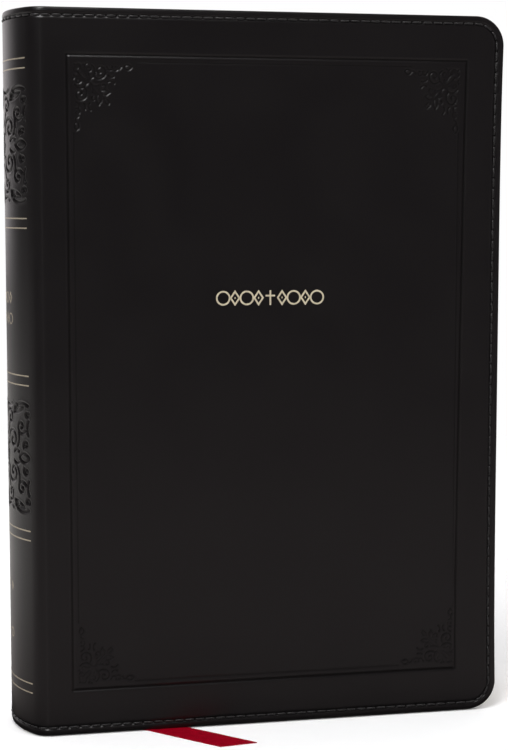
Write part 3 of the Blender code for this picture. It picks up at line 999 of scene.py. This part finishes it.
def gilt_material():
    """Gilt page edges: burnished gold over the fine lines of the leaves, a little rubbed."""
    n = new_material("gilt_edge")
    leaves = n.noise(n.rest((0.001, 4.0, 0.001)), 1.0, 2.0, 0.6)
    patch = n.noise(n.rest((0.05, 0.10, 0.05)), 1.0, 1.0)
    gold = n.mix(n.remap(leaves, 0.25, 0.75), (0.90, 0.63, 0.24), (0.72, 0.46, 0.15))
    rubbed = n.mix(n.remap(patch, 0.55, 0.8, 0.0, 0.5), gold, (0.80, 0.66, 0.40))
    return n.finish(Base_Color=rubbed, Metallic=0.8, Normal=n.bump(leaves, 0.2, 0.04),
                    Roughness=n.remap(patch, 0.3, 0.7, 0.27, 0.35))


def page_material():
    """Thin cream paper with two columns of grey dashes that stand for print."""
    n = new_material("thin_paper")
    x, _, z = n.axes(n.stored())
    line = n.maths("DIVIDE", z, 4.3)
    seed = n.add("CombineXYZ", {0: x, 1: n.times(n.maths("FLOOR", line), 17.0)})
    letters = n.remap(n.noise(seed, 1.7, 1.0), 0.38, 0.62, 0.10, 0.62)
    dashes = n.times(n.above(n.noise(seed, 0.30, 0.0), 0.43), letters)
    dashes = n.times(dashes, n.between(n.maths("FRACT", line), 0.36, 0.78))
    columns = n.plus(n.between(x, 40.0, 92.0), n.between(x, 97.0, 149.0))
    ink = n.times(dashes, n.times(columns, n.between(z, 17.0, 219.0)))
    fibres = n.noise(n.rest(), 0.8, 5.0, 0.6)
    paper = n.mix(n.remap(fibres, 0.3, 0.7), (0.82, 0.78, 0.68), (0.76, 0.71, 0.60))
    return n.finish(Base_Color=n.mix(ink, paper, (0.07, 0.065, 0.06)), Roughness=0.7,
                    Normal=n.bump(fibres, 0.15, 0.05), Specular_IOR_Level=0.3)


def paper_material(name, light, dark, scale, coordinates=Nodes.rest, roughness=0.75):
    """Plain paper or card with visible fibres."""
    n = new_material(name)
    fibres = n.noise(coordinates(n), scale, 5.0, 0.65)
    return n.finish(Base_Color=n.mix(n.remap(fibres, 0.3, 0.7), light, dark),
                    Roughness=roughness, Normal=n.bump(fibres, 0.3, 0.06))


def weave_material(name, light, dark, pitch):
    """Open plain-woven cloth on a CAD node, with its pitch in millimetres."""
    n = new_material(name)
    scale = 1000.0 / pitch
    cloth = n.maths("MAXIMUM", n.wave(n.local((0, 0, scale)), 0.32, "Z"),
                    n.wave(n.local((0, scale, 0)), 0.32, "Y"))
    return n.finish(Base_Color=n.mix(cloth, dark, light), Roughness=0.9,
                    Normal=n.bump(cloth, 0.8, 0.1))


def band_material():
    """Silk wound in alternating cream-gold and black turns."""
    n = new_material("band_silk")
    rest = n.stored()
    pair = n.maths("FRACT", n.maths("DIVIDE", n.axes(rest)[0], 4.0))
    colour = n.mix(n.above(pair, 0.5), (0.78, 0.62, 0.30), (0.03, 0.027, 0.027))
    return n.finish(Base_Color=colour, Roughness=0.42, Sheen_Weight=0.3,
                    Normal=n.bump(n.noise(rest, 7.0, 2.0), 0.4, 0.06))


def ribbon_material(name, coordinates=Nodes.rest):
    """Dark red satin: fine ribs across the ribbon, and a soft sheen along it."""
    n = new_material(name)
    place = coordinates(n)
    slub = n.noise(place, 0.5, 4.0)
    colour = n.mix(n.remap(slub, 0.3, 0.7), (0.26, 0.0006, 0.0095), (0.20, 0.0004, 0.0070))
    return n.finish(Base_Color=colour, Roughness=n.remap(slub, 0.3, 0.7, 0.36, 0.5),
                    Normal=n.bump(n.wave(place, 1.15, "X", 0.25), 0.35, 0.05),
                    Specular_IOR_Level=0.10, Anisotropic=0.4)


LEATHER = leather_material()
THREAD = thread_material()
FOIL = foil_material("pale_gold_foil", (0.70, 0.63, 0.46), (0.60, 0.53, 0.38))
# The spine's foil is a darker copy of the front's foil: painted shade on the spine.
SHADED_SPINE_FOIL = foil_material("shaded_spine_foil", (0.40, 0.35, 0.27), (0.33, 0.285, 0.215))
GILT = gilt_material()
PAGE = page_material()
ENDPAPER = paper_material("endpaper", (0.78, 0.74, 0.64), (0.70, 0.65, 0.55), 0.9)
LINER = paper_material("liner_paper", (0.022, 0.020, 0.021), (0.014, 0.013, 0.014), 1.4,
                       roughness=0.6)
BAND = band_material()
RIBBON = ribbon_material("red_satin")


def dress_cad_nodes():
    """Finishes for the CAD nodes that stay in view."""
    local = Nodes.local
    board = paper_material("cover_board", (0.36, 0.31, 0.24), (0.26, 0.22, 0.17), 1.2, local, 0.9)
    card = paper_material("spine_card", (0.32, 0.29, 0.24), (0.24, 0.21, 0.17), 1.5, local, 0.9)
    kraft = paper_material("kraft_paper", (0.42, 0.29, 0.16), (0.33, 0.21, 0.11), 0.9, local, 0.85)
    linen = weave_material("sewing_linen", (0.80, 0.76, 0.68), (0.60, 0.56, 0.48), 0.3)
    mull = weave_material("mull_cloth", (0.78, 0.74, 0.64), (0.42, 0.38, 0.30), 0.9)
    satin = ribbon_material("red_satin_inner", local)
    chosen = {"front_board": board, "back_board": board, "spine_inlay": card,
              "spine_lining": kraft, "mull": mull, "sewing_thread": linen, "ribbon_marker": satin}
    for name, surface in chosen.items():
        for slot in frame["nodes"][name].material_slots:
            slot.material = surface


# ---- object
def with_corners(*runs):
    """Heights from runs of (start, end, step), and round the two corners of a cover."""
    angles = np.radians(np.linspace(0, 90, 26))
    low = CORNER - (CORNER - EDGE_START) * np.cos(angles)
    return np.unique(np.round(np.concatenate([low, HEIGHT - low, spaced(*runs)]), 5))


def build():
    """Every piece. The meshes are fine only where the leather is tooled, sewn or round."""
    fine, edge, coarse = 0.28, 0.45, 2.2
    seam = (SEAM_X, SEAM_X + 0.6, 0.2)
    front_x = spaced(seam, (seam[1], 17.2, edge), (17.2, 41.6, fine), (41.6, 128.6, coarse),
                     (128.6, 152.4, fine), (152.4, WIDTH - EDGE_START, 0.42))
    front_z = with_corners((CORNER, 13.6, edge), (13.6, 39.2, fine), (39.2, 196.0, coarse),
                           (196.0, 222.4, fine), (222.4, HEIGHT - CORNER, edge))
    cover_skin(-1, front_relief, front_x, front_z)

    back_x = spaced(seam, (seam[1], 16.0, 0.5), (16.0, WIDTH - 14, 1.3),
                    (WIDTH - 14, WIDTH - EDGE_START, 0.35))
    back_z = with_corners((CORNER, HEIGHT - CORNER, 1.6))
    cover_skin(1, cover_relief, back_x, back_z)

    spine_skin()
    cover_stitches(-1)
    cover_stitches(1)
    spine_stitches("foot", STITCH_INSET)
    spine_stitches("head", HEIGHT - STITCH_INSET)
    front_foil()
    spine_foil()
    page_groups()
    endpapers(-1)
    endpapers(1)
    worked_band("head_band")
    worked_band("foot_band")
    ribbon_tail()
    dress_cad_nodes()


# ---- stage, light and camera
def floor():
    """A plain pale floor that fades into the white backdrop with distance.

    It is dimmer in reflections, so that black leather stays black, and black close to
    the book's footprint, which stands for the contact shadow.
    """
    bpy.ops.mesh.primitive_plane_add(size=8.0, location=(0.0, 0.0, FLOOR_Z * MM))
    plane = bpy.context.object
    plane.name = "floor"
    n = new_material("pale_floor")
    n.finish(Base_Color=(0.88, 0.88, 0.885), Roughness=0.7, Specular_IOR_Level=0.2)
    place = n.local((1, 1, 1))
    away = n.vector("LENGTH", place, out="Value")
    # Painted reflection: in reflections the floor is brighter behind the book and dims with
    # distance in front of it.
    behind = n.vector("DOT_PRODUCT", place, (-0.5, 0.866, 0.0), "Value")
    front = n.mix(n.remap(away, 0.45, 0.95), (0.200, 0.178, 0.174), (0.065, 0.062, 0.062))
    shade = n.mix(n.remap(behind, 0.0, 0.30), front, (0.62, 0.60, 0.58))
    half_x, half_y = WIDTH / 2 * MM, HALF * MM
    offset = n.vector("ABSOLUTE", n.vector("SUBTRACT", place, (half_x, 0.0, 0.0)))
    outside = n.vector("MAXIMUM", n.vector("SUBTRACT", offset, (half_x, half_y, 0.0)))
    contact = n.remap(n.vector("LENGTH", outside, out="Value"), 0.003, 0.024, 0.9, 0.0)
    dim = n.add("BsdfDiffuse", {"Color": n.mix(contact, shade, (0.0, 0.0, 0.0))})
    white = n.add("Emission", {"Color": (1.0, 1.0, 1.0), "Strength": 1.0})
    path = n.add("LightPath").node.outputs
    near = n.choose(path["Is Glossy Ray"], n.tree.nodes["Principled BSDF"].outputs[0], dim)
    far = n.times(n.remap(away, 0.30, 0.75), path["Is Camera Ray"])
    n.set(n.tree.nodes["Material Output"], {0: n.choose(far, near, white)})
    plane.data.materials.append(n.owner)


def world():
    """Bright behind the book and to its left, dim towards the camera's side."""
    n = Nodes(bpy.data.worlds.new("studio"))
    bpy.context.scene.world = n.owner
    n.tree.nodes.clear()
    ray = n.add("TexCoord", out="Generated")
    behind = n.vector("DOT_PRODUCT", ray, (-0.25, 0.968, 0.0), "Value")
    side = n.vector("DOT_PRODUCT", ray, (0.6, -0.8, 0.0), "Value")
    glow = n.plus(n.remap(behind, -0.2, 0.62, 0.037, 0.105, "SMOOTHSTEP"),
                  n.remap(behind, 0.75, 1.0, 0.0, 1.15, "SMOOTHSTEP"))
    glow = n.plus(glow, n.remap(side, 0.89, 0.98, 0.0, 0.15, "SMOOTHSTEP"))
    soft = n.add("Background", {"Color": (1.0, 0.94, 0.955), "Strength": glow})
    white = n.add("Background", {"Color": (1.0, 1.0, 1.0), "Strength": 1.0})
    backdrop = n.choose(n.add("LightPath", out="Is Camera Ray"), soft, white)
    n.set(n.tree.nodes.new("ShaderNodeOutputWorld"), {"Surface": backdrop})


def turned(tilt, yaw):
    """The rotation of a light or camera that looks up by tilt and left by yaw, in radians."""
    return Euler((math.pi / 2 + tilt, 0.0, yaw))


def area_light(name, place, size, power, shines=True):
    """A soft light in watts that looks at the middle of the book. Places are in metres."""
    data = bpy.data.lights.new(name, "AREA")
    data.shape = "RECTANGLE"
    data.size, data.size_y = size
    data.energy = power
    made = bpy.data.objects.new(name, data)
    made.location = place
    x, y, z = np.array((0.08, 0.0, 0.11)) - np.array(place)
    made.rotation_euler = turned(math.atan2(z, math.hypot(x, y)), math.atan2(-x, y))
    made.visible_glossy = shines
    bpy.context.scene.collection.objects.link(made)


def lights():
    area_light("top_left_soft", (-0.22, -0.52, 1.0), (0.34, 0.90), 9.0)
    area_light("top_fill", (0.1, 0.2, 1.6), (1.8, 1.8), 18.0, shines=False)
    area_light("left_fill", (-0.9, -1.1, 0.7), (1.0, 1.0), 11.0, shines=False)
    area_light("right_fill", (1.2, -0.8, 0.6), (1.0, 1.0), 11.0, shines=False)
    area_light("behind_fill", (0.3, 1.4, 0.9), (1.2, 1.0), 9.0, shines=False)


def camera():
    """The photo's camera, as solved from the outline of the book."""
    data = bpy.data.cameras.new("camera")
    data.lens = 84.2
    data.sensor_width = 36.0
    data.clip_start = 0.02
    made = bpy.data.objects.new("camera", data)
    made.location = (-0.04239, -0.58458, 0.17565)
    made.rotation_euler = turned(math.radians(-5.747), math.radians(-12.187))
    bpy.context.scene.collection.objects.link(made)
    bpy.context.scene.camera = made


build()
floor()
world()
lights()
camera()
bpy.context.scene.view_settings.view_transform = "Standard"
